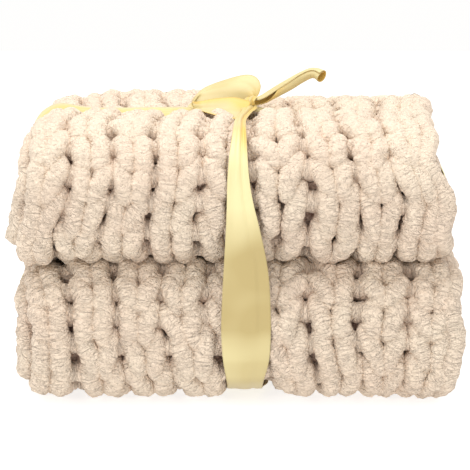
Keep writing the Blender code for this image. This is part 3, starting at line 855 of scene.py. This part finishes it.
def ribbon_band(pieces, material):
    """The ribbon that goes round from front to back."""
    def keep(points):
        middle, width = band_middle(points[:, 1], points[:, 2])
        return np.abs(points[:, 0] - middle) < width * BAND_CARRIED
    line, outward = taut_line(yarn_near(pieces, keep)[:, 1:], RIBBON_CLEAR, RIBBON_STEP)
    middle, width = band_middle(line[:, 0], line[:, 1])
    middle, width = ease(middle, 12), ease(width, 8)
    across = np.linspace(-0.5, 0.5, 25)
    lift = gathers(across, width, 1.3)
    front = (line[:, 0] < -0.05)[:, None]
    height = line[:, 1:]
    pleat = smooth((across[None] - PLEAT_FROM) / 0.04) * front * within(height, PLEAT_HEIGHTS)
    lift = lift + PLEAT_LIFT * (1 - pleat)
    x = middle[:, None] + across[None] * width[:, None]
    y = line[:, :1] + outward[:, :1] * lift
    z = np.maximum(line[:, 1:] + outward[:, 1:] * lift, 0.0006)
    grid = np.stack([x, y, z], axis=2)
    # painted reflection: gold on the band near the knot, strongest right of its middle
    by_knot = smooth((height - 0.240) / 0.026) * smooth((0.03 - line[:, :1]) / 0.03)
    gold = by_knot * (0.30 + 0.70 * np.exp(-((across[None] - 0.34) / 0.18) ** 2))
    reflected_gold = np.stack([gold, gold])
    return strip("band_ribbon", grid, reflected_gold, material, closed=True)


def ribbon_cross(pieces, material):
    """The ribbon that goes round from side to side."""
    reach, spread = np.array(CROSS_SHAPE).T

    def width_at(x, z):
        on_top = z > CROWN_TOP
        open_width = np.interp(np.abs(x - KNOT[0]), reach, spread)
        buried_width = np.minimum(open_width, BURIED_WIDTH)
        top_width = np.where(x > KNOT[0], buried_width, open_width)
        return np.where(on_top, top_width, RIBBON_WIDTH)

    def keep(points):
        return np.abs(points[:, 1] - CROSS_Y) < width_at(points[:, 0], points[:, 2]) * CROSS_CARRIED
    line, outward = taut_line(yarn_near(pieces, keep)[:, ::2], RIBBON_CLEAR, RIBBON_STEP)
    width = ease(width_at(line[:, 0], line[:, 1]), 8)
    across = np.linspace(-0.5, 0.5, 21)
    lift = gathers(across, width, 2.1) + 0.0008
    lift = lift + 0.0008 * np.sin(across * 7 + line[:, :1] * 40)
    shoulder = np.exp(-((line[:, :1] - SHOULDER_X) / 0.030) ** 2) * (line[:, 1:] > 0.2)
    lift = lift + shoulder * (0.001 + SHOULDER_TILT * across * width[:, None])
    on_left = smooth((-0.010 - line[:, :1]) / 0.05) * (line[:, 1:] > CROWN_TOP)
    lift = lift + LEFT_TILT * on_left * (across - 0.5) * width[:, None]
    y = CROSS_Y + across[None] * width[:, None]
    x = line[:, :1] + outward[:, :1] * lift
    z = np.maximum(line[:, 1:] + outward[:, 1:] * lift, 0.0014)
    z = z - BURIED_SINK * within(x, BURIED_SPAN) * (z > KNIT_TOP - 0.05)
    sag = np.exp(-((z - NOTCH_Z) / NOTCH_REACH) ** 2) * (x < -0.15)
    corner_sag = np.exp(-((z - CORNER_SAG_Z) / NOTCH_REACH) ** 2) * (x > 0.15)
    x = x + NOTCH_SAG * sag - CORNER_SAG * corner_sag
    grid = np.stack([x, y, z], axis=2)
    # painted reflection: gold on top left of the knot, fading out towards the back edge
    gold = 0.50 * on_left * smooth((0.42 - across[None]) / 0.16)
    return strip("cross_ribbon", grid, np.stack([gold, gold]), material, closed=True)


def bow_loop(material):
    """The one loop, its two walls hollow between them."""
    lower = spline([edge[0] for edge in LOOP_EDGES], 110)
    upper = spline([edge[1] for edge in LOOP_EDGES], 110)
    across = np.linspace(0.0, 1.0, 21)
    grid = lower[:, None] + (upper - lower)[:, None] * across[None, :, None]
    width = np.linalg.norm(upper - lower, axis=1)
    ahead = np.gradient((lower + upper) / 2, axis=0)
    normal = np.cross(ahead, upper - lower)
    normal /= np.linalg.norm(normal, axis=1)[:, None]
    part = np.linspace(0, 1, len(lower))[:, None]
    fullness = 0.04 + 0.10 * smooth((0.5 - part) / 0.15)
    belly = np.minimum(width, 0.030)[:, None] * fullness * np.sin(math.pi * across)[None]
    lift = belly + gathers(across - 0.5, width, 0.4) * np.sin(math.pi * across)[None] ** 0.5
    grid = grid + normal[:, None] * lift[:, :, None] + np.array(KNOT)
    # painted reflection: gold along the edges of the near wall and on the far wall near the knot
    near_wall = smooth((0.42 - part) / 0.10)
    edges = np.exp(-(across[None] / 0.13) ** 2) + np.exp(-((across[None] - 1) / 0.17) ** 2)
    edges = edges + 0.8 * smooth((0.15 - part) / 0.10) * smooth((across[None] - 0.45) / 0.30)
    by_knot = smooth((part - 0.86) / 0.12) * (1 - 0.6 * across[None])
    reflected_gold = near_wall * 0.85 * np.minimum(edges, 1.0) + (1 - near_wall) * (0.10 + 0.55 * by_knot)
    reflected_gold = np.stack([reflected_gold, reflected_gold])
    return strip("loop_ribbon", grid, reflected_gold, material)


def ribbon_tail(material):
    """The free end, rolled lengthwise and open at its cut end."""
    line = spline(TAIL_SHAPE, 90)
    middle, radius = line[:, :3] + np.array(KNOT), line[:, 3]
    ahead = np.gradient(middle, axis=0)
    ahead /= np.linalg.norm(ahead, axis=1)[:, None]
    aside = np.cross(ahead, (0.0, 0.0, 1.0))
    aside /= np.linalg.norm(aside, axis=1)[:, None]
    up = np.cross(aside, ahead)
    part = np.linspace(0, 1, len(line))[:, None]
    roll = np.linspace(0.0, 1.0, 36)[None]
    rolled = TAIL_OPEN + (TAIL_ROLLED - TAIL_OPEN) * smooth((part - 0.05) / 0.55)
    angle = 2 * math.pi * (rolled * roll + 0.10 * part) + 0.15
    fade = 1 - 0.24 * smooth(roll * 1.4) * part + 0.035 * np.sin(3 * angle + 9 * part)
    reach = radius[:, None] * fade
    grid = (middle[:, None] + aside[:, None] * (np.cos(angle) * reach)[:, :, None]
            + up[:, None] * (np.sin(angle) * reach * 0.92)[:, :, None])
    # painted reflection: gold on one face of the rolled end, and on the other near its free edge
    reflected_gold = np.zeros((2,) + grid.shape[:2])
    reflected_gold[1] = 0.8
    reflected_gold[0] = 0.5 * smooth((roll - 0.80) / 0.15)
    return strip("tail_ribbon", grid, reflected_gold, material)


def knot_turn(material):
    """The turn of ribbon round the crossing, its folds running round it."""
    turn = np.linspace(0, 2 * math.pi, 48, endpoint=False)[:, None]
    across = np.linspace(-0.5, 0.5, 25)[None]
    folds = 0.10 * np.sin(2 * math.pi * 1.9 * across + 0.8 * np.sin(turn) + 0.6)
    crown = 0.66 + 0.34 * np.cos(math.pi * across) ** 0.6 + folds
    skew = 0.0035 * np.cos(turn)
    width, deep, high = KNOT_SIZE
    x = KNOT[0] + 0.002 + width * across + skew
    y = KNOT[1] - 0.002 + deep * crown * np.cos(turn)
    z = KNOT[2] - 0.002 + high * crown * np.sin(turn)
    grid = np.stack([x, y, z], axis=2)
    # painted reflection: some gold all over the knot, more in the hollows of its folds
    reflected_gold = np.zeros((2,) + x.shape) + 0.25
    reflected_gold[0] += 0.45 * (folds < 0)
    return strip("knot_ribbon", grid, reflected_gold, material, closed=True)


def yarn_material():
    nodes = Nodes("chenille_yarn", Roughness=0.92, Sheen_Weight=0.12, Sheen_Roughness=0.6)
    nodes.shader.inputs["Specular IOR Level"].default_value = 0.12
    where = nodes.make("ShaderNodeTexCoord", output=3)
    height = nodes.make("ShaderNodeSeparateXYZ", None, {"Vector": where}, output=2)
    shade_depth = nodes.make("ShaderNodeAttribute", {"attribute_name": "shade_depth"}, output=2)
    along = nodes.make("ShaderNodeUVMap", {"uv_map": "yarn"})
    # the painted shade of the creases and pits, and their bump, are full below 0.19 m and fall to
    # 0.45 of that above 0.27 m
    less_on_top = 0.45 + nodes.stretch(height, 0.270, 0.190) * 0.55
    patches = nodes.noise(where, 16.0, 2.0)
    tufts = nodes.noise(where, 240.0, 3.0)
    fuzz = nodes.noise(where, 620.0, 2.0)
    curls = nodes.make("ShaderNodeTexVoronoi", {"feature": "SMOOTH_F1"},
                       {"Vector": where, "Scale": 290.0, "Smoothness": 0.35})
    crease = nodes.parting(nodes.creased(along, 45.0, 150.0), 0.045)
    fine_crease = nodes.parting(nodes.creased(along, 110.0, 300.0), 0.060)
    dots = nodes.make("ShaderNodeTexVoronoi", None, {"Vector": where, "Scale": 200.0})
    pits = nodes.stretch(dots, 0.24, 0.10) * nodes.stretch(tufts, 0.54, 0.46)
    # painted shade: the deeper the yarn lies in the hollows of the knit, the darker and pinker it
    # is painted
    deep = nodes.stretch(shade_depth, 0.004, 0.027) ** 1.35
    lit = nodes.mix(nodes.stretch(patches, 0.35, 0.65), YARN_LIGHT, YARN_ROSE)
    shaded_in_recesses = nodes.mix(deep, lit, YARN_RECESS_SHADE)
    tufted = nodes.stretch(tufts, 0.46, 0.34)
    # painted shade in the creases, in the pits and between the tufts of the pile
    crease_shade = (crease * 0.14 + fine_crease * 0.12 + pits * 0.20 + tufted * 0.14) * less_on_top
    nodes.feed("Base Color", nodes.mix(crease_shade.clamped(), shaded_in_recesses, YARN_CREASE_SHADE))
    parted = (crease * 0.26 + fine_crease * 0.18 + pits * 0.20) * less_on_top
    grain = tufts * 0.70 + fuzz * 0.34 - curls * 0.40 - parted
    nodes.bump(grain, 0.0046)
    return nodes.material


def core_material():
    nodes = Nodes("knit_inside_shade", Roughness=0.95)
    where = nodes.make("ShaderNodeTexCoord", output=3)
    lumpy = nodes.noise(where, 170.0, 3.0)
    share = nodes.stretch(lumpy, 0.36, 0.64)
    # painted shade: the inside is coloured dark brown for the shadow at the bottom of the holes
    nodes.feed("Base Color", nodes.mix(share, CORE_SHADE_DARK, CORE_SHADE_LIGHT))
    nodes.bump(lumpy, 0.012)
    return nodes.material


def satin_material():
    nodes = Nodes("satin_ribbon", Roughness=0.34, Sheen_Weight=0.15, Sheen_Roughness=0.4)
    nodes.shader.inputs["Specular IOR Level"].default_value = 0.50
    where = nodes.make("ShaderNodeTexCoord", output=3)
    height = nodes.make("ShaderNodeSeparateXYZ", None, {"Vector": where}, output=2)
    reflected_gold = nodes.make("ShaderNodeAttribute", {"attribute_name": "reflected_gold"}, output=2)
    soft = nodes.noise(where, 20.0, 1.0)
    weave = nodes.noise(where, 1400.0, 1.0)
    # painted shade by height: darker in the dip between the two bundles, at the foot and on top;
    # plus darker patches at random
    in_hollow = nodes.stretch(height, 0.200, 0.150) * nodes.stretch(height, 0.050, 0.080)
    at_foot = nodes.stretch(height, 0.070, 0.045) * 0.42 + nodes.stretch(height, 0.030, 0.008) * 0.4
    on_top = nodes.stretch(height, 0.258, 0.280) * 0.55
    patchy = nodes.stretch(soft, 0.42, 0.70) * 0.30
    shade_and_patches = (in_hollow * 0.85 + at_foot + on_top + patchy).clamped()
    base = nodes.mix(shade_and_patches, SATIN_LIT, SATIN_SHADE)
    # painted reflection: gold mixed in by each point's share
    nodes.feed("Base Color", nodes.mix(reflected_gold, base, SATIN_REFLECTED_GOLD))
    nodes.bump(soft * 2.0 + weave * 0.05, 0.0012, 0.5)
    return nodes.material


def floor_and_light():
    bpy.ops.mesh.primitive_plane_add(size=8.0, location=(0.0, 0.0, -0.0005))
    floor = bpy.context.object
    floor.name = "floor"
    nodes = Nodes("pale_floor", Roughness=0.9)
    nodes.shader.inputs["Base Color"].default_value = (0.45, 0.45, 0.45, 1.0)
    nodes.shader.inputs["Emission Color"].default_value = (1.0, 1.0, 1.0, 1.0)
    nodes.shader.inputs["Emission Strength"].default_value = 0.72
    floor.data.materials.append(nodes.material)
    world = bpy.data.worlds.new("studio")
    world.use_nodes = True
    sky = world.node_tree.nodes["Background"]
    sky.inputs["Color"].default_value = (1.0, 0.995, 0.985, 1.0)
    sky.inputs["Strength"].default_value = 1.0
    bpy.context.scene.world = world
    lights = [
        {"name": "overhead", "at": (-0.10, -0.15, 1.5), "size": 1.1, "power": 12.0},
        {"name": "front_left", "at": (-1.0, -2.0, 1.0), "size": 0.8, "power": 7.5},
    ]
    for row in lights:
        lamp = bpy.data.lights.new(row["name"], "AREA")
        lamp.size = row["size"]
        lamp.energy = row["power"]
        light = bpy.data.objects.new(row["name"], lamp)
        light.location = row["at"]
        aim = Vector((0.0, 0.0, 0.14)) - light.location
        light.rotation_euler = aim.to_track_quat("-Z", "Y").to_euler()
        bpy.context.scene.collection.objects.link(light)


def camera():
    """The photograph's view: from the front, a little above, with a long lens."""
    height, distance, aim = math.radians(10.0), 2.1, Vector((0.004, 0.0, 0.147))
    lens_pixels, picture = 2025.0, 470.0
    data = bpy.data.cameras.new("camera")
    data.sensor_width = 36.0
    data.lens = lens_pixels * data.sensor_width / picture
    view = bpy.data.objects.new("camera", data)
    back = Vector((0.0, -math.cos(height), math.sin(height)))
    view.location = aim + back * distance
    view.rotation_euler = (-back).to_track_quat("-Z", "Y").to_euler()
    bpy.context.scene.collection.objects.link(view)
    bpy.context.scene.camera = view


def blanket_pieces():
    yarn = yarn_material()
    columns = END_COLUMN
    back_first = END_COLUMN + 1
    fine = {"steps": 92, "sides": 16}
    pieces = [
        knit("upper_front_crown", "face", range(24, 28), 0, columns, yarn, **fine),
        knit("upper_front_foot", "face", range(20, 24), 0, columns, yarn, **fine),
        knit("lower_front_crown", "face", range(10, 14), 0, columns, yarn, **fine),
        knit("lower_front_foot", "face", range(6, 10), 0, columns, yarn, **fine),
        knit("top_knit", "face", range(28, 34), 0, columns, yarn, steps=84, sides=14),
        knit("underside_knit", "face", range(0, 6), 0, columns, yarn, steps=40, sides=12),
        knit("back_knit", "back", [0, *range(11, 19), 29], back_first, columns, yarn, steps=52,
             sides=12),
        knit("end_knit", "end", range(27), END_COLUMN, 1, yarn),
        fold_ends("left_fold_ends", [("face", END_COLUMN - 1), ("back", back_first)], yarn),
        fold_ends("right_fold_ends", [("face", 0), ("back", COLUMNS - 1)], yarn),
        side_edges(yarn),
        short_edges(yarn),
        knit_core(core_material()),
    ]
    for piece in pieces:
        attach(piece, "root")
        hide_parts("blanket")
    return pieces


def ribbon_pieces(knitted):
    satin = satin_material()
    rows = [
        ("ribbon_band", ribbon_band(knitted, satin), 1.08, "stretched", ["blanket"]),
        ("ribbon_cross", ribbon_cross(knitted, satin), 1.40, "stretched", ["blanket"]),
        ("knot", knot_turn(satin), 0.042, "gathered", ["ribbon_cross"]),
        ("bow_loop", bow_loop(satin), 0.120, "folded", ["knot"]),
        ("ribbon_tail", ribbon_tail(satin), 0.078, "folded", ["knot"]),
    ]
    for node, piece, length, held, rests_on in rows:
        width = KNOT_WIDTH if node == "knot" else RIBBON_WIDTH
        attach(piece, "root")
        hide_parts(node)


bpy.context.scene.view_settings.view_transform = "Standard"
camera()
floor_and_light()
ribbon_pieces(blanket_pieces())
